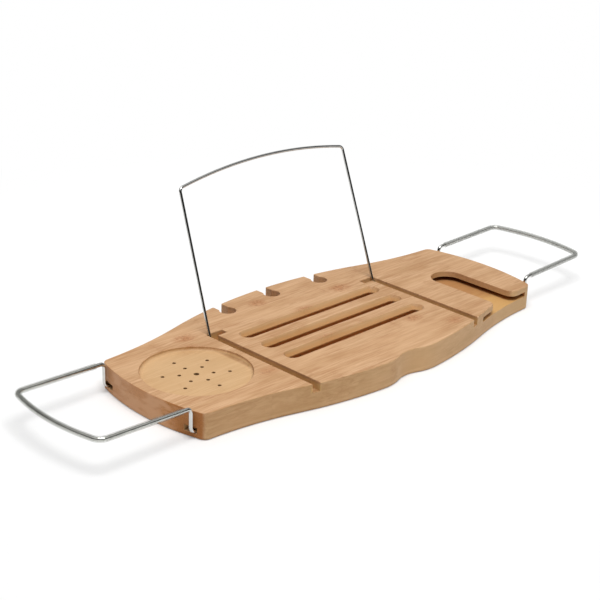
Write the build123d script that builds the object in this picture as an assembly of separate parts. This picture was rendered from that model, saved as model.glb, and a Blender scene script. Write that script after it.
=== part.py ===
from build123d import *
from math import asin, cos, hypot, radians, sin, sqrt, tan
import os

# A bath caddy: a bamboo board that spans a tub, with a cup recess, three slots, a glass holder and razor
# notches, two wire arms that slide out to the tub's rims and a wire book rest that folds into the board.
# Millimetres. The origin is the middle of the board's underside, +X runs to the glass holder's end,
# +Y to the notched back edge and +Z up. The arms are closed and the book rest is raised.

os.makedirs("parts", exist_ok=True)

# Board layers
TOP_PANEL_THICKNESS = 6.4
CORE_THICKNESS = 16.1
BOTTOM_PANEL_THICKNESS = 4.7

# Board outline: a wide middle, hollow flanks towards the ends, and bowed ends
HALF_LENGTH = 248.1
HALF_WIDTH_MIDDLE = 109.4
HALF_WIDTH_END = 74.1
WAIST_RADIUS_SHARE = 1.65
END_BOW_RADIUS = 252.0
CORNER_RADIUS = 8.0
TOP_EDGE_RADIUS = 0.8
BOTTOM_EDGE_RADIUS = 1.5

# Finger scoop in the front edge, where the folded book rest is picked up
SCOOP_X = 2.9
SCOOP_DEPTH = 7.6
SCOOP_RADIUS = 40.0
SCOOP_SHOULDER_RADIUS = 56.0

# Notches in the back edge: round holes with narrower necks
NOTCH_COUNT = 3
NOTCH_MIDDLE_X = 3.5
NOTCH_PITCH_SHARE = 0.27
NOTCH_HOLE_RADIUS = 8.8
NOTCH_NECK_WIDTH = 12.4
NOTCH_DEPTH = 25.6
NOTCH_NECK_RADIUS = 2.0
NOTCH_LIP_RADIUS = 1.5

# Cross grooves that take the folded book rest, with a side pocket at the back end of each
GROOVE_X_SHARE = 0.474
GROOVE_WIDTH = 8.5
GROOVE_DEPTH = 9.0
SIDE_POCKET_REACH = 12.2
SIDE_POCKET_WIDTH = 8.0

# Round cup recess with a coved wall between the left groove and the left end, with its drain holes
RECESS_GROOVE_MARGIN = 7.0
RECESS_END_MARGIN = 10.7
RECESS_DEPTH = 4.1
RECESS_COVE_SHARE = 0.96
DRAIN_MIDDLE_RADIUS = 2.75
DRAIN_RADIUS = 1.9
DRAIN_RING_SHARES = (0.304, 0.597)
DRAINS_IN_RING = 6
DRAIN_RING_ANGLE = -29.5

# Three long slots between the grooves, each with sloped sides over a wider hollow with drain holes
SLOT_COUNT = 3
SLOT_MIDDLE_X = 2.2
SLOT_MIDDLE_Y = -1.4
SLOT_GROOVE_MARGIN = 13.6
SLOT_WIDTH = 18.2
SLOT_PITCH_SHARE = 0.2907
SLOT_SLOPE_WIDTH = 3.4
SLOT_LIP = 1.0
HOLLOW_MARGIN = 4.0
HOLLOW_DRAIN_RADIUS = 2.5
HOLLOW_DRAINS_PER_SLOT = 5
HOLLOW_DRAIN_PITCH_SHARE = 0.21

# Glass holder between the right groove and the right end: a slot for the stem over a pocket for the foot
FOOT_POCKET_GROOVE_MARGIN = 15.7
FOOT_POCKET_END_MARGIN = 19.6
FOOT_POCKET_HEIGHT = 5.1
STEM_SLOT_OFFSET = 1.6
STEM_SLOT_WIDTH = 38.0
STEM_SLOT_END_Y = -1.1
STEM_MOUTH_RADIUS = 10.0

# Book rest: one wire with its pivot pins, two legs and a bowed top bar
REST_WIRE_RADIUS = 1.5
REST_PIVOT_Y_SHARE = 0.477
REST_PIVOT_DEPTH = 4.3
REST_LEAN = 19.8
REST_FOLD_GAP = 0.8
REST_FOOT_OFFSET = 2.0
REST_TAPER = 4.2
REST_BAR_BOW = 11.3
REST_CORNER_RADIUS = 5.0
REST_ELBOW_RADIUS = 2.0
REST_PIN_SEAT = 9.0
REST_PIN_CLEARANCE = 0.1
REST_STOP_GAP = 0.3

# Arm channels
CHANNEL_WIDTH = 14.0
CHANNEL_HEIGHT = 6.0
CHANNEL_SIDE_GAP = 1.0

# Arms: one wire each, with two hooked legs, two drops outside the board's end and a bowed loop
ARM_WIRE_RADIUS = 2.0
ARM_LEG_INSET = 11.6
ARM_LEG_SHARE = 0.82
ARM_TRAVEL_SHARE = 0.57
ARM_END_GAP = 1.5
ARM_RISE = 3.4
ARM_LOOP_LENGTH = 100.0
ARM_LOOP_RISE = 2.7
ARM_LOOP_NARROWING = 0.9
ARM_BAR_BOW = 8.9
ARM_BEND_RADIUS = 5.0
ARM_CORNER_RADIUS = 10.0
ARM_HOOK_RADIUS = 4.0
SLIDE_GAP = 0.3

# Clear sleeve on each loop
SLEEVE_WALL = 0.85
SLEEVE_CLEARANCE = 0.05
SLEEVE_START = 5.0

# Stop pins across the inner side of the channels
STOP_PIN_RADIUS = 2.5
STOP_PIN_SEAT = 2.5
STOP_PIN_INSET = 1.0
STOP_PIN_CLEARANCE = 0.05

# Every cut runs past the face that it opens
OVERRUN = 5.0

core_bottom = BOTTOM_PANEL_THICKNESS
core_top = core_bottom + CORE_THICKNESS
board_top = core_top + TOP_PANEL_THICKNESS


def disc(x, y, radius):
    return Pos(x, y) * Circle(radius)


def box_between(x0, x1, y0, y1, z0, z1):
    middle = Pos((x0 + x1) / 2, (y0 + y1) / 2, (z0 + z1) / 2)
    return middle * Box(x1 - x0, y1 - y0, z1 - z0)


def prism(sketch, z0, z1):
    return extrude(Pos(0, 0, z0) * sketch, amount=z1 - z0, dir=(0, 0, 1))


# The long flank is a convex arc round the middle that turns smoothly into a hollow arc at each end
waist_radius = WAIST_RADIUS_SHARE * HALF_LENGTH
flank_drop = HALF_WIDTH_MIDDLE - HALF_WIDTH_END
arc_centre_distance = (HALF_LENGTH**2 + flank_drop**2) / (2 * flank_drop)
middle_radius = arc_centre_distance - waist_radius
flank_turn_x = HALF_LENGTH * middle_radius / arc_centre_distance


def flank_y(x):
    """Half the board's width at x, without its notches and scoop."""
    if abs(x) < flank_turn_x:
        return HALF_WIDTH_MIDDLE - middle_radius + sqrt(middle_radius**2 - x**2)
    return HALF_WIDTH_END + waist_radius - sqrt(waist_radius**2 - (HALF_LENGTH - abs(x)) ** 2)


def end_x(y):
    """The distance from the middle of the board to its bowed end at y."""
    return HALF_LENGTH - END_BOW_RADIUS + sqrt(END_BOW_RADIUS**2 - y**2)


def flank_arc(x0, x1, side):
    points = [(x, side * flank_y(x)) for x in (x0, (x0 + x1) / 2, x1)]
    return ThreePointArc(*points)


def closed_face(edges):
    return Face(Wire(edges))


def board_shape():
    """The board's outline with its scoop and notches, as a flat sketch."""
    turns = (-HALF_LENGTH, -flank_turn_x, flank_turn_x, HALF_LENGTH)
    spans = list(zip(turns[:-1], turns[1:]))
    back = [flank_arc(x0, x1, 1) for x0, x1 in spans]
    front = [flank_arc(x0, x1, -1) for x0, x1 in spans]
    sides = [Line((x, -HALF_WIDTH_END), (x, HALF_WIDTH_END)) for x in (-HALF_LENGTH, HALF_LENGTH)]
    flanks = Sketch() + closed_face(back + front + sides)
    reach = HALF_WIDTH_MIDDLE + OVERRUN
    far = end_x(reach)
    bows = [ThreePointArc((s * far, -reach), (s * HALF_LENGTH, 0), (s * far, reach)) for s in (-1, 1)]
    bars = [Line((-far, y), (far, y)) for y in (-reach, reach)]
    shape = flanks & closed_face(bows + bars)
    corners = shape.vertices().filter_by(lambda v: abs(v.X) > (flank_turn_x + HALF_LENGTH) / 2)
    shape = fillet(corners, CORNER_RADIUS)

    shape -= disc(SCOOP_X, SCOOP_DEPTH - HALF_WIDTH_MIDDLE - SCOOP_RADIUS, SCOOP_RADIUS)
    shoulders = shape.vertices().filter_by(lambda v: abs(v.X - SCOOP_X) < SCOOP_RADIUS and v.Y < 0)
    shape = fillet(shoulders, SCOOP_SHOULDER_RADIUS)

    for x in notch_places():
        end_y = flank_y(x) - NOTCH_DEPTH + NOTCH_HOLE_RADIUS
        shape -= disc(x, end_y, NOTCH_HOLE_RADIUS)
        mouth_y = HALF_WIDTH_MIDDLE + OVERRUN
        shape -= Pos(x, (end_y + mouth_y) / 2) * Rectangle(NOTCH_NECK_WIDTH, mouth_y - end_y)
        for neck_x in (x - NOTCH_NECK_WIDTH / 2, x + NOTCH_NECK_WIDTH / 2):
            neck_y = end_y + sqrt(NOTCH_HOLE_RADIUS**2 - (neck_x - x) ** 2)
            shape = fillet(nearest_vertex(shape, (neck_x, neck_y)), NOTCH_NECK_RADIUS)
            shape = fillet(nearest_vertex(shape, (neck_x, flank_y(neck_x))), NOTCH_LIP_RADIUS)
    return shape


def nearest_vertex(shape, place):
    return shape.vertices().sort_by(lambda v: hypot(v.X - place[0], v.Y - place[1]))[0]


def notch_places():
    pitch = NOTCH_PITCH_SHARE * HALF_LENGTH
    return [NOTCH_MIDDLE_X + (i - (NOTCH_COUNT - 1) / 2) * pitch for i in range(NOTCH_COUNT)]


slot_pitch = SLOT_PITCH_SHARE * HALF_WIDTH_MIDDLE


def slot_places():
    return [SLOT_MIDDLE_Y + (i - (SLOT_COUNT - 1) / 2) * slot_pitch for i in range(SLOT_COUNT)]


# The grooves part the board into a middle and two ends
groove_x = GROOVE_X_SHARE * HALF_LENGTH
groove_outer_x = groove_x + GROOVE_WIDTH / 2
groove_inner_x = groove_x - GROOVE_WIDTH / 2

# The recess fills the left end but for its margins
recess_radius = (HALF_LENGTH - RECESS_END_MARGIN - groove_outer_x - RECESS_GROOVE_MARGIN) / 2
recess_x = RECESS_END_MARGIN + recess_radius - HALF_LENGTH


def drain_holes():
    """The drain holes of the cup recess, through the whole board."""
    holes = disc(recess_x, 0, DRAIN_MIDDLE_RADIUS)
    for share in DRAIN_RING_SHARES:
        ring_radius = share * recess_radius
        for i in range(DRAINS_IN_RING):
            angle = radians(DRAIN_RING_ANGLE + i * 360 / DRAINS_IN_RING)
            holes += disc(recess_x + ring_radius * cos(angle), ring_radius * sin(angle), DRAIN_RADIUS)
    return prism(holes, -OVERRUN, board_top + OVERRUN)


def cup_recess():
    depth_and_overrun = RECESS_DEPTH + OVERRUN
    recess = Pos(recess_x, 0, board_top - RECESS_DEPTH) * Cylinder(
        recess_radius, depth_and_overrun, align=(Align.CENTER, Align.CENTER, Align.MIN)
    )
    floor_edge = recess.edges().sort_by(Axis.Z)[0]
    return fillet(floor_edge, RECESS_COVE_SHARE * (RECESS_DEPTH - TOP_EDGE_RADIUS))


# A slot narrows all round down to a thin lip, and under the lip it is wider than at the top
slot_length = 2 * (groove_inner_x - SLOT_GROOVE_MARGIN)
slope_depth = TOP_PANEL_THICKNESS - SLOT_LIP


def slot_shape(y, margin):
    return Pos(SLOT_MIDDLE_X, y) * SlotOverall(slot_length + 2 * margin, SLOT_WIDTH + 2 * margin)


def slots():
    """Each slot's straight lip and its sloped sides, which run on above the board."""
    cuts = []
    for y in slot_places():
        cuts.append(prism(slot_shape(y, -SLOT_SLOPE_WIDTH), core_top - OVERRUN, board_top))
        low = Pos(0, 0, board_top - slope_depth) * slot_shape(y, -SLOT_SLOPE_WIDTH)
        high = Pos(0, 0, board_top + OVERRUN) * slot_shape(y, SLOT_SLOPE_WIDTH * OVERRUN / slope_depth)
        cuts.append(loft([low, high], ruled=True))
    return cuts


def slot_hollows():
    return [prism(slot_shape(y, HOLLOW_MARGIN), core_bottom - OVERRUN, core_top + OVERRUN) for y in slot_places()]


def hollow_drains():
    pitch = HOLLOW_DRAIN_PITCH_SHARE * slot_length
    holes = Sketch()
    for y in slot_places():
        for i in range(HOLLOW_DRAINS_PER_SLOT):
            x = SLOT_MIDDLE_X + (i - (HOLLOW_DRAINS_PER_SLOT - 1) / 2) * pitch
            holes += disc(x, y, HOLLOW_DRAIN_RADIUS)
    return prism(holes, -OVERRUN, core_bottom + OVERRUN)


# The foot pocket fills the right end but for its margins, and the stem slot lies over its middle
foot_pocket_width = HALF_LENGTH - FOOT_POCKET_END_MARGIN - groove_outer_x - FOOT_POCKET_GROOVE_MARGIN
foot_pocket_x = HALF_LENGTH - FOOT_POCKET_END_MARGIN - foot_pocket_width / 2
stem_slot_x = foot_pocket_x + STEM_SLOT_OFFSET


def open_slot(x, end_y, width):
    """A slot with a round end at the back that runs out through the front edge."""
    front = -HALF_WIDTH_MIDDLE - OVERRUN
    return disc(x, end_y, width / 2) + Pos(x, (front + end_y) / 2) * Rectangle(width, end_y - front)


def top_shape():
    """The outline of the top layer: the board's, with the stem slot and its rounded mouth."""
    shape = board_outline - open_slot(stem_slot_x, STEM_SLOT_END_Y, STEM_SLOT_WIDTH)
    for side in (-1, 1):
        x = stem_slot_x + side * STEM_SLOT_WIDTH / 2
        shape = fillet(nearest_vertex(shape, (x, -flank_y(x))), STEM_MOUTH_RADIUS)
    return shape


def foot_pocket():
    shape = open_slot(foot_pocket_x, STEM_SLOT_END_Y, foot_pocket_width)
    return prism(shape, core_top - FOOT_POCKET_HEIGHT, core_top + OVERRUN)


# The book rest's legs lean back on the end walls of the side pockets, level with the board's top
groove_floor = board_top - GROOVE_DEPTH
pivot_y = REST_PIVOT_Y_SHARE * HALF_WIDTH_MIDDLE
lean = radians(REST_LEAN)
leg_back_y = pivot_y + REST_PIVOT_DEPTH * tan(lean) + REST_WIRE_RADIUS / cos(lean)
pocket_back_y = leg_back_y + REST_STOP_GAP
pocket_front_y = pocket_back_y - SIDE_POCKET_WIDTH


def grooves():
    """Both cross grooves with their side pockets, from above the board down to their floors."""
    front = -HALF_WIDTH_MIDDLE - OVERRUN
    above = board_top + OVERRUN
    groove = box_between(groove_inner_x, groove_outer_x, front, pocket_back_y, groove_floor, above)
    pocket_end_x = groove_inner_x - SIDE_POCKET_REACH
    pocket = box_between(pocket_end_x, groove_outer_x, pocket_front_y, pocket_back_y, groove_floor, above)
    right = groove + pocket
    return [right, mirror(right, about=Plane.YZ)]


# The pivot pins turn in blind bores in the outer walls of the grooves
pivot_z = board_top - REST_PIVOT_DEPTH


def pivot_bores():
    bore_radius = REST_WIRE_RADIUS + REST_PIN_CLEARANCE
    bore_end = groove_outer_x + REST_PIN_SEAT + REST_STOP_GAP
    bore_start = groove_outer_x - REST_WIRE_RADIUS
    bores = []
    for side in (-1, 1):
        plane = Plane(origin=(side * bore_start, pivot_y, pivot_z), z_dir=(side, 0, 0))
        bores.append(extrude(plane * Circle(bore_radius), amount=bore_end - bore_start))
    return bores


# The arm legs lie on the channel floors, and their hooks meet the channels' inner ends when closed
arm_leg_y = HALF_WIDTH_END - ARM_LEG_INSET
arm_drop_x = end_x(arm_leg_y) + ARM_END_GAP + ARM_WIRE_RADIUS
arm_leg_length = ARM_LEG_SHARE * arm_drop_x
arm_travel = ARM_TRAVEL_SHARE * arm_leg_length
channel_outer_y = arm_leg_y + ARM_WIRE_RADIUS + CHANNEL_SIDE_GAP
channel_inner_y = channel_outer_y - CHANNEL_WIDTH
leg_z = core_bottom + SLIDE_GAP + ARM_WIRE_RADIUS
hook_x = arm_drop_x - arm_leg_length
channel_end_x = hook_x - ARM_WIRE_RADIUS - SLIDE_GAP
channel_top = core_bottom + CHANNEL_HEIGHT


def channels():
    cuts = []
    far_x = HALF_LENGTH + OVERRUN
    for side in (-1, 1):
        for y_side in (-1, 1):
            x_ends = sorted((side * channel_end_x, side * far_x))
            y_ends = sorted((y_side * channel_inner_y, y_side * channel_outer_y))
            cuts.append(box_between(*x_ends, *y_ends, core_bottom - OVERRUN, channel_top))
    return cuts


# A stop pin stands where the hook arrives at the end of the arm's travel
stop_pin_x = hook_x + arm_travel + ARM_WIRE_RADIUS + SLIDE_GAP + STOP_PIN_RADIUS
stop_pin_y = channel_inner_y + STOP_PIN_INSET + STOP_PIN_RADIUS
stop_pin_bottom = core_bottom - STOP_PIN_SEAT
stop_pin_top = channel_top + STOP_PIN_SEAT


def pins(radius, z0, z1):
    sketch = Sketch()
    for x in (-stop_pin_x, stop_pin_x):
        for y in (-stop_pin_y, stop_pin_y):
            sketch += disc(x, y, radius)
    return prism(sketch, z0, z1)


def make_top_panel():
    panel = prism(top_shape(), core_top, board_top)
    cuts = [cup_recess(), drain_holes()] + slots() + grooves() + pivot_bores()
    for cut in cuts:
        panel -= cut
    rim = panel.faces().sort_by(Axis.Z)[-1].edges()
    return fillet(rim, TOP_EDGE_RADIUS)


def make_core_board():
    core = prism(board_outline, core_bottom, core_top)
    pin_holes = pins(STOP_PIN_RADIUS + STOP_PIN_CLEARANCE, core_bottom, stop_pin_top + STOP_PIN_CLEARANCE)
    cuts = [drain_holes(), foot_pocket(), pin_holes] + slot_hollows() + grooves() + channels()
    for cut in cuts:
        core -= cut
    return core


def make_bottom_panel():
    panel = prism(board_outline, 0, core_bottom)
    rim = panel.faces().sort_by(Axis.Z)[0].edges()
    panel = fillet(rim, BOTTOM_EDGE_RADIUS)
    pin_holes = pins(STOP_PIN_RADIUS + STOP_PIN_CLEARANCE, stop_pin_bottom, core_bottom + OVERRUN)
    for cut in (drain_holes(), hollow_drains(), pin_holes):
        panel -= cut
    return panel


def rod(path, radius, bore_radius=0):
    """A wire or, with a bore, a sleeve along a path."""
    start = Plane(origin=path @ 0, z_dir=path % 0)
    section = Circle(radius)
    if bore_radius > 0:
        section -= Circle(bore_radius)
    return sweep(start * section, path)


def bent(wire, places, radius):
    """The wire with a bend of one radius at each of its corners named by place."""
    corners = [nearest_vertex(wire, place) for place in places]
    return wire.fillet_2d(radius, corners)


# Folded, the top bar clears the board's front edge by a small gap
rest_reach = pivot_y + HALF_WIDTH_MIDDLE + REST_FOLD_GAP + REST_WIRE_RADIUS
rest_foot_x = groove_x + REST_FOOT_OFFSET


def make_book_rest():
    """Drawn flat, with the pivot line on X, then leaned back about it."""
    pin_end = (groove_outer_x + REST_PIN_SEAT, 0)
    foot = (rest_foot_x, 0)
    corner = (rest_foot_x - REST_TAPER, rest_reach - REST_BAR_BOW)
    bar_middle = (0, rest_reach)

    def left(place):
        return (-place[0], place[1])

    flat = Wire(
        [
            Line(pin_end, foot),
            Line(foot, corner),
            ThreePointArc(corner, bar_middle, left(corner)),
            Line(left(corner), left(foot)),
            Line(left(foot), left(pin_end)),
        ]
    )
    flat = bent(flat, (foot, left(foot)), REST_ELBOW_RADIUS)
    flat = bent(flat, (corner, left(corner)), REST_CORNER_RADIUS)
    normal = (0, -cos(lean), sin(lean))
    leaned = Plane(origin=(0, pivot_y, pivot_z), x_dir=(1, 0, 0), z_dir=normal)
    return rod(leaned * flat, REST_WIRE_RADIUS)


# The loop rises a little from its bends to its outer corners
loop_z = board_top + ARM_RISE
loop_run = hypot(ARM_LOOP_LENGTH, ARM_LOOP_RISE)
loop_tilt = asin(ARM_LOOP_RISE / loop_run)
loop_start = ARM_BEND_RADIUS + SLEEVE_START


def loop_path():
    """The part of the right loop that the sleeve covers, drawn in its own tilted plane."""
    start = (loop_start, arm_leg_y - ARM_LOOP_NARROWING * loop_start / loop_run)
    corner = (loop_run, arm_leg_y - ARM_LOOP_NARROWING)
    bar_middle = (loop_run + ARM_BAR_BOW, 0)

    def front(place):
        return (place[0], -place[1])

    flat = Wire(
        [
            Line(start, corner),
            ThreePointArc(corner, bar_middle, front(corner)),
            Line(front(corner), front(start)),
        ]
    )
    flat = bent(flat, (corner, front(corner)), ARM_CORNER_RADIUS)
    along = (cos(loop_tilt), 0, sin(loop_tilt))
    up = (-sin(loop_tilt), 0, cos(loop_tilt))
    return Plane(origin=(arm_drop_x, 0, loop_z), x_dir=along, z_dir=up) * flat


def make_arm():
    """The right arm's wire: both hooked legs with their drops, joined by the loop."""
    loop = loop_path()
    hook_end_y = channel_inner_y + SLIDE_GAP
    leg = FilletPolyline(
        (hook_x, hook_end_y, leg_z),
        (hook_x, arm_leg_y, leg_z),
        (arm_drop_x, arm_leg_y, leg_z),
        (arm_drop_x, arm_leg_y, loop_z),
        loop @ 0,
        radius=[ARM_HOOK_RADIUS, ARM_BEND_RADIUS, ARM_BEND_RADIUS],
    )
    front_leg = mirror(leg, about=Plane.XZ)
    return rod(Wire(leg.edges() + loop.edges() + front_leg.edges()), ARM_WIRE_RADIUS)


def make_sleeve():
    bore_radius = ARM_WIRE_RADIUS + SLEEVE_CLEARANCE
    return rod(loop_path(), bore_radius + SLEEVE_WALL, bore_radius)


board_outline = board_shape()
right_arm = make_arm()
right_sleeve = make_sleeve()

parts = {
    "top_panel": make_top_panel(),
    "core_board": make_core_board(),
    "bottom_panel": make_bottom_panel(),
    "left_arm": mirror(right_arm, about=Plane.YZ),
    "right_arm": right_arm,
    "left_arm_sleeve": mirror(right_sleeve, about=Plane.YZ),
    "right_arm_sleeve": right_sleeve,
    "book_rest": make_book_rest(),
    "arm_stop_pins": pins(STOP_PIN_RADIUS, stop_pin_bottom, stop_pin_top),
}

for name, shape in parts.items():
    export_step(shape, f"parts/{name}.step")
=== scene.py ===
import math

import bpy
from mathutils import Matrix, Vector

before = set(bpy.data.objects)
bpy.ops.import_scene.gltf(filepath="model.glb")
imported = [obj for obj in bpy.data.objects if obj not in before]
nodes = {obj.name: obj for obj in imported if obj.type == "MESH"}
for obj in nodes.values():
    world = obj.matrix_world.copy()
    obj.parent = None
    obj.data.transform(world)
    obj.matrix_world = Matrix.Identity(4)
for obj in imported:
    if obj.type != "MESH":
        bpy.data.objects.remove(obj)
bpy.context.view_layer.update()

# The looks of the bath caddy: lacquered bamboo, polished steel wire and clear vinyl sleeves.
# Metres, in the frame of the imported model: origin in the middle of the board's underside.

scene = bpy.context.scene

BOARD_TOP = 0.0272
WHITE = (1, 1, 1, 1)

# Camera, from the fit to the photograph's outline and edges. Angles in degrees, the sensor in millimetres
CAMERA_AZIMUTH = -45.465
CAMERA_ELEVATION = 22.495
CAMERA_ROLL = 1.938
CAMERA_TARGET = (0.013029, 0.059217, BOARD_TOP)
CAMERA_DISTANCE = 1.54147
FOCAL_PIXELS = 1456.69
IMAGE_PIXELS = 600
SENSOR_WIDTH = 36


def camera_axes(azimuth, elevation, roll):
    """Right, up and back vectors of a camera that looks along +Y at azimuth 0."""
    az, el, turn = (math.radians(v) for v in (azimuth, elevation, roll))
    back = Vector((math.sin(az) * math.cos(el), -math.cos(az) * math.cos(el), math.sin(el)))
    right = Vector((math.cos(az), math.sin(az), 0))
    up = back.cross(right)
    rolled_right = math.cos(turn) * right + math.sin(turn) * up
    return rolled_right, back.cross(rolled_right), back


def make_camera():
    right, up, back = camera_axes(CAMERA_AZIMUTH, CAMERA_ELEVATION, CAMERA_ROLL)
    place = Vector(CAMERA_TARGET) + CAMERA_DISTANCE * back
    data = bpy.data.cameras.new("camera")
    data.sensor_fit = "HORIZONTAL"
    data.sensor_width = SENSOR_WIDTH
    data.lens = FOCAL_PIXELS / IMAGE_PIXELS * SENSOR_WIDTH
    data.clip_start = 0.01
    data.clip_end = 50
    camera = bpy.data.objects.new("camera", data)
    camera.matrix_world = Matrix([*zip(right, up, back, place), (0, 0, 0, 1)])
    scene.collection.objects.link(camera)
    scene.camera = camera


# Small helpers for node trees
class Tree:
    """The node tree of a material or world, with short calls for the nodes used here."""

    def __init__(self, owner):
        owner.use_nodes = True
        self.tree = owner.node_tree
        self.tree.nodes.clear()

    def feed(self, socket, value):
        if isinstance(value, bpy.types.NodeSocket):
            self.tree.links.new(value, socket)
        else:
            socket.default_value = value

    def node(self, kind, inputs=None, **settings):
        made = self.tree.nodes.new(kind)
        for key, value in settings.items():
            setattr(made, key, value)
        for key, value in (inputs or {}).items():
            self.feed(made.inputs[key], value)
        return made

    def shader(self, kind, inputs):
        return self.node(kind, inputs).outputs[0]

    def surface(self, shader):
        self.node("ShaderNodeOutputMaterial", {"Surface": shader})

    def calc(self, operation, *values):
        return self.node("ShaderNodeMath", dict(enumerate(values)), operation=operation).outputs[0]

    def times(self, *values):
        product = values[0]
        for value in values[1:]:
            product = self.calc("MULTIPLY", product, value)
        return product

    def vector(self, operation, *values):
        """A vector sum, or the number that a dot product or a length gives."""
        made = self.node("ShaderNodeVectorMath", dict(enumerate(values)), operation=operation)
        return made.outputs["Value" if operation in ("DOT_PRODUCT", "LENGTH") else "Vector"]

    def split(self, vector):
        outputs = self.node("ShaderNodeSeparateXYZ", {"Vector": vector}).outputs
        return outputs["X"], outputs["Y"], outputs["Z"]

    def remap(self, value, low, high, to_low=0.0, to_high=1.0, smooth=True):
        inputs = {"Value": value, "From Min": low, "From Max": high, "To Min": to_low, "To Max": to_high}
        kind = "SMOOTHSTEP" if smooth else "LINEAR"
        return self.node("ShaderNodeMapRange", inputs, interpolation_type=kind).outputs["Result"]

    def above(self, value, level, edge):
        """1 above the level and 0 below it, softened by the edge to each side."""
        return self.remap(value, level - edge, level + edge)

    def under(self, value, level, edge):
        """1 below the level and 0 above it, softened by the edge to each side."""
        return self.remap(value, level - edge, level + edge, 1.0, 0.0)

    def within(self, value, low, high, edge):
        """1 between low and high and 0 outside them, softened by the edge to each side."""
        return self.times(self.above(value, low, edge), self.under(value, high, edge))

    def mix(self, factor, a, b):
        made = self.node("ShaderNodeMix", {"Factor": factor, "A": a, "B": b}, data_type="RGBA")
        return made.outputs["Result"]

    def place(self):
        return self.node("ShaderNodeTexCoord").outputs["Object"]

    def normal(self):
        return self.node("ShaderNodeNewGeometry").outputs["Normal"]

    def scaled(self, vector, scale):
        return self.node("ShaderNodeMapping", {"Vector": vector, "Scale": scale}).outputs["Vector"]

    def noise(self, vector, scale, detail, roughness, distortion=0.0):
        """Noise with its scale along each axis, in cycles per metre."""
        inputs = {
            "Vector": self.scaled(vector, scale),
            "Scale": 1.0,
            "Detail": detail,
            "Roughness": roughness,
            "Distortion": distortion,
        }
        return self.node("ShaderNodeTexNoise", inputs).outputs["Fac"]


def srgb(r, g, b):
    """A colour given in sRGB from 0 to 255, as linear values."""

    def linear(v):
        v = v / 255
        return v / 12.92 if v <= 0.04045 else ((v + 0.055) / 1.055) ** 2.4

    return (linear(r), linear(g), linear(b), 1)


# Bamboo: strips glued side by side, fine fibres along X, marks of the stem's nodes, and dotted end grain
STRIP_WIDTH = 0.0195
FIRST_SEAM = -0.2
NODE_SPACING = 0.23

# How fine each pattern is along X, Y and Z, in cycles per metre
FIBRES = (26, 430, 430)
BANDS = (8, 75, 75)
CLOUDS = (14, 34, 34)
WOBBLE = (30, 60, 60)
PATCHES = (130, 330, 330)
STROKES = (420, 260, 260)
BUNDLES = (60, 900, 900)
MOTTLE = (10, 22, 60)

# The strongest node marks: x, y, depth under the board's top, half length along X, half width, and strength
KNOTS = (
    (-0.1437, 0.0637, 0.0, 0.015, 0.010, 1.0),
    (-0.1570, 0.0437, 0.0, 0.014, 0.009, 0.9),
    (-0.0269, 0.0824, 0.0, 0.013, 0.010, 0.9),
    (0.0700, 0.0555, 0.0, 0.015, 0.011, 1.0),
    (0.0000, 0.0380, 0.0, 0.015, 0.009, 0.9),
    (-0.0371, 0.0020, 0.0, 0.013, 0.008, 0.95),
    (-0.0320, -0.0284, 0.0022, 0.015, 0.009, 0.9),
    (0.0686, -0.0509, 0.0, 0.013, 0.009, 0.85),
    (0.0982, -0.0828, 0.0, 0.014, 0.009, 0.75),
    (-0.0230, -0.1060, 0.0132, 0.007, 0.014, 0.8),
    (-0.1300, -0.0450, 0.0, 0.016, 0.009, 0.7),
)
KNOT_HALF_HEIGHT = 0.012

# Places on the board where the wood looks different, or where light and shade are painted
GROOVE_X = (0.1125, 0.1235)
GROOVE_FLOOR = BOARD_TOP - 0.009
SLOTS_X = (-0.1065, 0.1065)
BETWEEN_ENDS_X = (-0.135, 0.135)
HOLDER_FLOOR = 0.02065
HOLLOW_TOP = 0.0206
HOLLOW_X = (-0.108, 0.108)
DRAIN_TOP = 0.0226
DRAIN_X = (-0.23, -0.13)
INSIDE_Y = (-0.055, 0.055)
# The height of the band of painted floor light
FLOOR_BOUNCE_BAND_Z = (0.0024, 0.0048)

# The tones and painted shade inside the board stay this far off its underside
OFF_UNDERSIDE = 0.001

# Where the milled faces end at the front, left of the glass holder and in it, and at the back
MILLED_FRONT_Y = (-0.068, -0.082)
MILLED_BACK_Y = 0.068

# How much further to the front the grooves reach
GROOVE_REACH = 0.04

# Colours of the wood, and of the light and shade painted on it
DARK_STRIP = srgb(189, 148, 106)
PALE_STRIP = srgb(217, 178, 139)
FIBRE = srgb(174, 126, 85)
CLOUD = srgb(215, 174, 133)
STRIP_TINT = srgb(192, 146, 104)
NODE_SMUDGE = srgb(164, 112, 72)
NODE_LINE = srgb(156, 104, 66)
KNOT = srgb(178, 122, 80)
KNOT_STROKE = srgb(142, 90, 54)
GLUE_LINE = srgb(164, 114, 74)
BARE = srgb(210, 174, 126)
GROOVE_WALL = srgb(218, 182, 116)
# The groove bed colour is painted shade.
GROOVE_BED_SHADE = srgb(146, 108, 68)
# The slot slope colour is painted shade with warm reflected light.
SLOT_SLOPE_SHADE_AND_BOUNCE = srgb(202, 132, 58)
SLOT_END = srgb(206, 164, 108)
HOLDER_FRONT = srgb(206, 158, 92)
# The holder's back colour is painted shade.
HOLDER_BACK_SHADE = srgb(168, 110, 56)
# The hollow and drain colours are painted shade.
HOLLOW_SHADE = srgb(176, 106, 44)
DRAIN_SHADE = srgb(96, 54, 26)
# The pale band is painted light reflected from the floor, and the dark rim a painted contact shadow.
FLOOR_BOUNCE_BAND = srgb(228, 192, 152)
CONTACT_SHADOW = srgb(122, 84, 50)
LEFT_SIDE = srgb(202, 160, 102)
RIGHT_SIDE = srgb(222, 182, 130)
BUNDLE = srgb(146, 82, 32)
END_GRAIN = srgb(196, 130, 70)
END_MOTTLE = srgb(216, 162, 118)
END_FRONT = srgb(156, 90, 32)
END_BACK = srgb(214, 164, 126)


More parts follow.
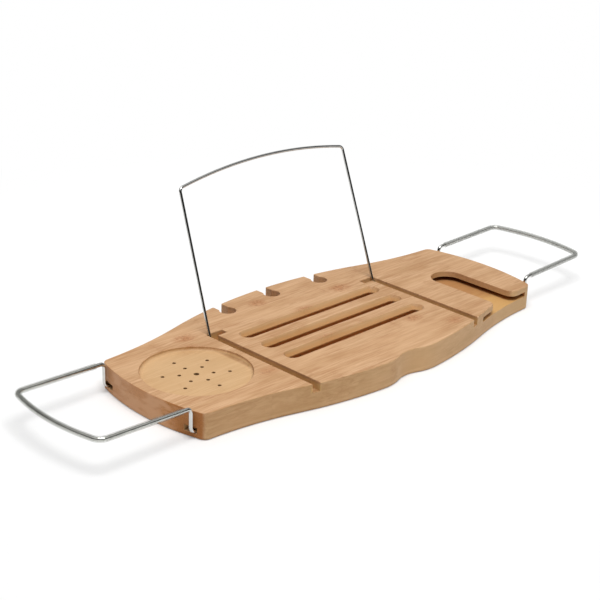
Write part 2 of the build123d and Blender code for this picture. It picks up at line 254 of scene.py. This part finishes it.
class Bamboo(Tree):
    """The board's wood: the strips' own colour, and then one tone after another laid over it, some of them
    painted light and shade.
    """

    def __init__(self, material):
        super().__init__(material)
        self.at = self.place()
        self.x, self.y, self.z = self.split(self.at)
        normal_x, normal_y, self.up = self.split(self.normal())
        self.endways = self.calc("ABSOLUTE", normal_x)
        self.sideways = self.calc("ABSOLUTE", normal_y)
        self.from_middle = self.calc("ABSOLUTE", self.x)
        self.clouds = self.noise(self.at, CLOUDS, 3.0, 0.55)
        self.patches = self.noise(self.at, PATCHES, 3.0, 0.6)

        # Each strip has its own number from 0 to 1, and its own part of the grain
        self.strips = self.calc("DIVIDE", self.calc("SUBTRACT", self.y, FIRST_SEAM), STRIP_WIDTH)
        number = {"W": self.calc("FLOOR", self.strips)}
        self.tone = self.node("ShaderNodeTexWhiteNoise", number, noise_dimensions="1D").outputs["Value"]
        shift = self.node("ShaderNodeCombineXYZ", {"X": self.times(self.tone, 7.0), "Y": self.tone, "Z": 0.0})
        moved = self.vector("ADD", self.at, shift.outputs[0])
        self.fibres = self.noise(moved, FIBRES, 4.0, 0.7, 0.3)
        self.bands = self.noise(moved, BANDS, 3.0, 0.6, 0.6)
        self.colour = self.mix(self.remap(self.bands, 0.3, 0.7), DARK_STRIP, PALE_STRIP)

    def lay(self, amount, colour):
        """Cover the colour so far with another one, as far as amount says."""
        self.colour = self.mix(amount, self.colour, colour)

    def grain(self):
        """Fine fibres, paler clouds, and a tint of its own for each strip."""
        self.lay(self.remap(self.fibres, 0.36, 0.68, 0, 0.85), FIBRE)
        self.lay(self.remap(self.clouds, 0.38, 0.66, 0, 0.5), CLOUD)
        self.lay(self.times(self.tone, 0.2), STRIP_TINT)

    def node_marks(self):
        """Thin lines across a strip, inside faint smudges."""
        along = self.calc("ADD", self.x, self.times(self.tone, 3.1))
        along = self.calc("ADD", along, self.times(self.noise(self.at, WOBBLE, 1.0, 0.5), 0.006))
        to_node = self.calc("PINGPONG", along, NODE_SPACING / 2)
        smudge = self.times(self.remap(to_node, 0, 0.009, 0.35, 0), self.remap(self.patches, 0.42, 0.66))
        self.lay(smudge, NODE_SMUDGE)
        self.lay(self.remap(to_node, 0, 0.0008, 0.16, 0), NODE_LINE)

    def knots(self):
        """The strongest marks, each at its own place, with short dark strokes."""
        strokes = self.noise(self.at, STROKES, 2.0, 0.7, 0.8)
        stain = 0.0
        for x, y, depth, half_x, half_y, strength in KNOTS:
            to_knot = self.vector("SUBTRACT", self.at, (x, y, BOARD_TOP - depth))
            shaped = self.vector("MULTIPLY", to_knot, (1 / half_x, 1 / half_y, 1 / KNOT_HALF_HEIGHT))
            near = self.remap(self.vector("LENGTH", shaped), 0.15, 1.25, strength, 0.0)
            stain = self.calc("MAXIMUM", stain, near)
        self.lay(self.times(stain, self.remap(self.patches, 0.3, 0.62, 0.3, 1.0), 0.85), KNOT)
        self.lay(self.times(stain, self.remap(strokes, 0.5, 0.66), 0.8), KNOT_STROKE)

    def glue_lines(self):
        """Lines between the strips, clearest on level faces."""
        seam = self.remap(self.calc("PINGPONG", self.strips, 0.5), 0, 0.02, 1, 0)
        self.lay(self.times(seam, self.remap(self.up, 0.5, 0.9, 0.06, 0.25)), GLUE_LINE)

    def milled_faces(self):
        """Bare wood in the recess and the holder and pale groove walls; painted shade on the groove beds, and
        on the slots' slopes a golden tone of painted shade and reflected light.
        """
        in_groove = self.within(self.from_middle, *GROOVE_X, 0.0003)
        in_groove = self.times(in_groove, self.above(self.z, GROOVE_FLOOR - 0.00025, 0.00015))
        from_front = self.calc("SUBTRACT", self.y, self.remap(self.x, 0.13, 0.14, *MILLED_FRONT_Y))
        from_front = self.calc("ADD", from_front, self.times(in_groove, GROOVE_REACH))
        milled = self.times(
            self.remap(self.z, BOARD_TOP - 0.004, BOARD_TOP - 0.001, 1.0, 0.0),
            self.above(self.z, OFF_UNDERSIDE, 0.0002),
            self.above(from_front, 0.0, 0.0005),
            self.under(self.y, MILLED_BACK_Y, 0.0005),
        )
        # Painted shade: the groove beds, which face up, are darker than the walls.
        groove_with_bed_shade = self.mix(self.remap(self.up, 0.5, 0.9), GROOVE_WALL, GROOVE_BED_SHADE)
        # Painted shade and reflected light: the slots' sloped faces are golden, their ends paler.
        slot_with_painted_light = self.mix(self.remap(self.endways, 0.3, 0.9), SLOT_SLOPE_SHADE_AND_BOUNCE, SLOT_END)
        tone = self.mix(self.within(self.x, *BETWEEN_ENDS_X, 0.002), BARE, groove_with_bed_shade)
        tone = self.mix(self.within(self.x, *SLOTS_X, 0.002), tone, slot_with_painted_light)
        self.lay(self.times(milled, 0.55), tone)

    def holder_floor_shade(self):
        """The glass holder's floor, browner towards the back with painted shade."""
        level = self.times(self.under(self.z, HOLDER_FLOOR, 0.00015), self.up)
        depth = self.calc("ADD", self.y, self.remap(self.clouds, 0.3, 0.7, -0.02, 0.02))
        tone = self.mix(self.remap(depth, -0.045, -0.015), HOLDER_FRONT, HOLDER_BACK_SHADE)
        self.lay(self.times(level, self.remap(self.x, 0.125, 0.13), 0.7), tone)

    def painted_hollow_shade(self):
        """Painted shade in the hollows under the slots and in the drain holes under the cup recess."""
        inside = self.within(self.y, *INSIDE_Y, 0.001)
        # Painted shade: the hollows and drain holes are darkened.
        hollow_shade_mask = self.times(inside, self.within(self.x, *HOLLOW_X, 0.001))
        self.lay(self.times(hollow_shade_mask, self.within(self.z, OFF_UNDERSIDE, HOLLOW_TOP, 0.0004), 0.3), HOLLOW_SHADE)
        drain_shade_mask = self.times(inside, self.within(self.x, *DRAIN_X, 0.001))
        self.lay(self.times(drain_shade_mask, self.within(self.z, OFF_UNDERSIDE, DRAIN_TOP, 0.0003), 0.8), DRAIN_SHADE)

    def painted_foot_light_and_shadow(self):
        """A pale band of painted floor light round the board's foot, over a rim darkened by a painted contact
        shadow, less so on the underside.
        """
        # Painted floor light on the band, then a painted contact shadow at the foot.
        self.lay(self.times(self.within(self.z, *FLOOR_BOUNCE_BAND_Z, 0.0006), 0.3), FLOOR_BOUNCE_BAND)
        painted_shade_rim = self.remap(self.z, 0.0008, 0.0024, 0.5, 0.0)
        self.lay(self.times(painted_shade_rim, self.remap(self.up, -0.9, -0.5, 0.3, 1.0)), CONTACT_SHADOW)

    def long_sides(self):
        """The front and the back show the strips' pale edges, paler towards the right."""
        amount = self.times(self.remap(self.sideways, 0.5, 0.9), self.remap(self.x, -0.2, 0.05, 0.3, 0.5))
        self.lay(amount, self.mix(self.remap(self.x, -0.15, 0.0), LEFT_SIDE, RIGHT_SIDE))

    def end_grain(self):
        """Across the fibres, the wood is darker and redder, with small dark bundles."""
        bundles = self.node("ShaderNodeTexVoronoi", {"Vector": self.scaled(self.at, BUNDLES), "Scale": 1.0})
        mottle = self.noise(self.at, MOTTLE, 3.0, 0.6, 0.5)
        grain = self.mix(self.remap(bundles.outputs["Distance"], 0.12, 0.45), BUNDLE, END_GRAIN)
        grain = self.mix(self.remap(mottle, 0.42, 0.6, 0, 0.9), grain, END_MOTTLE)
        joint = self.calc("ADD", self.y, self.times(mottle, 0.05))
        grain = self.mix(self.remap(joint, -0.035, -0.005, 0.55, 0.0), grain, END_FRONT)
        grain = self.mix(self.remap(joint, -0.015, 0.01, 0.0, 0.35), grain, END_BACK)
        near_end = self.remap(self.from_middle, 0.2, 0.23, 0.15, 1.0)
        self.lay(self.times(self.remap(self.endways, 0.6, 0.92), near_end, 0.92), grain)

    def lacquer(self):
        """A thin satin coat over the colour, with the fibres just standing out."""
        height = self.calc("ADD", self.times(self.fibres, 0.6), self.times(self.bands, 0.4))
        bump = self.node("ShaderNodeBump", {"Strength": 0.12, "Distance": 0.0004, "Height": height})
        inputs = {
            "Base Color": self.colour,
            "Roughness": self.remap(self.fibres, 0.2, 0.8, 0.42, 0.56, smooth=False),
            "Normal": bump.outputs["Normal"],
            "Specular IOR Level": 0.15,
            "Coat Weight": 0.05,
            "Coat Roughness": 0.35,
        }
        self.surface(self.shader("ShaderNodeBsdfPrincipled", inputs))


def bamboo():
    material = bpy.data.materials.new("bamboo")
    wood = Bamboo(material)
    wood.grain()
    wood.node_marks()
    wood.knots()
    wood.glue_lines()
    wood.milled_faces()
    wood.holder_floor_shade()
    wood.painted_hollow_shade()
    wood.painted_foot_light_and_shadow()
    wood.long_sides()
    wood.end_grain()
    wood.lacquer()
    return material


# Wire and sleeves
WIRE_STREAKS = (300, 300, 2500)
WIRE_STAINS = (90, 90, 90)
VINYL_HAZE = (160, 160, 160)


def wire(name, colour, roughness):
    """Polished steel wire with fine level streaks and faint stains."""
    material = bpy.data.materials.new(name)
    t = Tree(material)
    streaks = t.noise(t.place(), WIRE_STREAKS, 3.0, 0.6)
    stains = t.noise(t.place(), WIRE_STAINS, 3.0, 0.6)
    stained = tuple(0.8 * v for v in colour[:3]) + (1,)
    inputs = {
        "Base Color": t.mix(t.remap(stains, 0.3, 0.75), colour, stained),
        "Metallic": 1.0,
        "Roughness": t.remap(streaks, 0.25, 0.8, roughness * 0.8, roughness * 1.4, smooth=False),
    }
    t.surface(t.shader("ShaderNodeBsdfPrincipled", inputs))
    return material


def vinyl(name, milkiness):
    """Clear soft tube with a faint haze, and painted shade that makes it greyer underneath."""
    material = bpy.data.materials.new(name)
    t = Tree(material)
    haze = t.noise(t.place(), VINYL_HAZE, 3.0, 0.55)
    edge = t.node("ShaderNodeLayerWeight", {"Blend": 0.35}).outputs["Facing"]
    up = t.split(t.normal())[2]
    # Painted shade: the tint at the edges is greyer on faces turned down.
    painted_shade_rim = t.mix(t.remap(up, 0.1, -0.6), srgb(230, 231, 229), srgb(196, 197, 195))
    tint = t.mix(t.remap(edge, 0.15, 0.8), srgb(253, 253, 252), painted_shade_rim)
    through = t.shader("ShaderNodeBsdfTransparent", {"Color": tint})
    milk = t.shader("ShaderNodeBsdfDiffuse", {"Color": srgb(225, 226, 224)})
    body = t.shader("ShaderNodeMixShader", {0: milkiness, 1: through, 2: milk})
    rough = t.remap(haze, 0.25, 0.8, 0.06, 0.16, smooth=False)
    gloss = t.shader("ShaderNodeBsdfGlossy", {"Color": srgb(232, 233, 230), "Roughness": rough})
    share = t.calc("ADD", t.remap(edge, 0.2, 1.0, 0.03, 0.22), t.remap(haze, 0.4, 0.8, 0.0, 0.03))
    t.surface(t.shader("ShaderNodeMixShader", {0: share, 1: body, 2: gloss}))
    return material


def assign(material, *names):
    for name in names:
        data = nodes[name].data
        data.materials.clear()
        data.materials.append(material)


# Floor and light
FLOOR_HALF = 12.0
FLOOR_DROP = 0.0003
FLOOR_GREY = (0.8, 0.8, 0.8, 1)
SEEN_GREY = (0.74, 0.74, 0.74, 1)
AWAY_FROM_CAMERA = (0.707, 0.707, 0)
BACKDROP_SIDE = (0.71, 0.7, 0)
KEY_PLACE = (-0.35, -0.5, 2.0)
KEY_SIZE = 1.15
KEY_WATTS = 32.8


def make_floor():
    """A pale floor that is seen as white, apart from the shadows near the object."""
    mesh = bpy.data.meshes.new("floor")
    corners = [(-1, -1), (1, -1), (1, 1), (-1, 1)]
    mesh.from_pydata([(x * FLOOR_HALF, y * FLOOR_HALF, 0) for x, y in corners], [], [(0, 1, 2, 3)])
    floor = bpy.data.objects.new("floor", mesh)
    floor.location.z = -FLOOR_DROP
    scene.collection.objects.link(floor)
    material = bpy.data.materials.new("floor")
    t = Tree(material)
    plain = t.shader("ShaderNodeBsdfDiffuse", {"Color": FLOOR_GREY})

    # The glow makes up for the lamp's light, which falls off away from the camera
    seen_grey = t.shader("ShaderNodeBsdfDiffuse", {"Color": SEEN_GREY})
    away = t.vector("DOT_PRODUCT", t.place(), AWAY_FROM_CAMERA)
    lift = t.remap(away, -0.4, 0.6, 0.14, 0.33, smooth=False)
    glow = t.shader("ShaderNodeEmission", {"Color": WHITE, "Strength": lift})
    near = t.shader("ShaderNodeAddShader", {0: seen_grey, 1: glow})
    far = t.shader("ShaderNodeEmission", {"Color": WHITE, "Strength": 1.0})
    distance = t.vector("LENGTH", t.place())
    white = t.shader("ShaderNodeMixShader", {0: t.remap(distance, 0.45, 0.7), 1: near, 2: far})

    ray = t.node("ShaderNodeLightPath").outputs
    mirrored = t.calc("MAXIMUM", ray["Is Glossy Ray"], ray["Is Transmission Ray"])
    seen = t.calc("MAXIMUM", ray["Is Camera Ray"], mirrored)
    t.surface(t.shader("ShaderNodeMixShader", {0: seen, 1: plain, 2: white}))
    mesh.materials.append(material)


def make_world():
    """A plain studio: pale overhead and behind the object, dark low down on the camera's side."""
    world = bpy.data.worlds.new("studio")
    scene.world = world
    t = Tree(world)
    direction = t.node("ShaderNodeTexCoord").outputs["Generated"]
    overhead = t.remap(t.split(direction)[2], 0.42, 0.95, 0.02, 0.8)
    backdrop = t.remap(t.vector("DOT_PRODUCT", direction, BACKDROP_SIDE), 0.1, 0.8, 0.03, 0.45)
    level = t.calc("MAXIMUM", overhead, backdrop)
    background = t.shader("ShaderNodeBackground", {"Color": WHITE, "Strength": level})
    t.node("ShaderNodeOutputWorld", {"Surface": background})


def make_key_light():
    """One large soft lamp overhead, a little to the left and in front, turned to the board's middle."""
    data = bpy.data.lights.new("key", "AREA")
    data.shape = "RECTANGLE"
    data.size = KEY_SIZE
    data.size_y = KEY_SIZE
    data.energy = KEY_WATTS
    light = bpy.data.objects.new("key", data)
    light.location = KEY_PLACE
    light.rotation_euler = Vector(KEY_PLACE).to_track_quat("Z", "Y").to_euler()
    scene.collection.objects.link(light)


make_camera()
assign(bamboo(), "top_panel", "core_board", "bottom_panel")
assign(wire("arm_wire", srgb(212, 212, 208), 0.07), "left_arm", "right_arm")
assign(wire("rest_wire", srgb(200, 200, 197), 0.08), "book_rest")
assign(wire("pin_steel", srgb(170, 170, 170), 0.35), "arm_stop_pins")
assign(vinyl("clear_vinyl", 0.03), "left_arm_sleeve")
assign(vinyl("hazy_vinyl", 0.16), "right_arm_sleeve")
make_floor()
make_world()
make_key_light()

scene.view_settings.view_transform = "Standard"
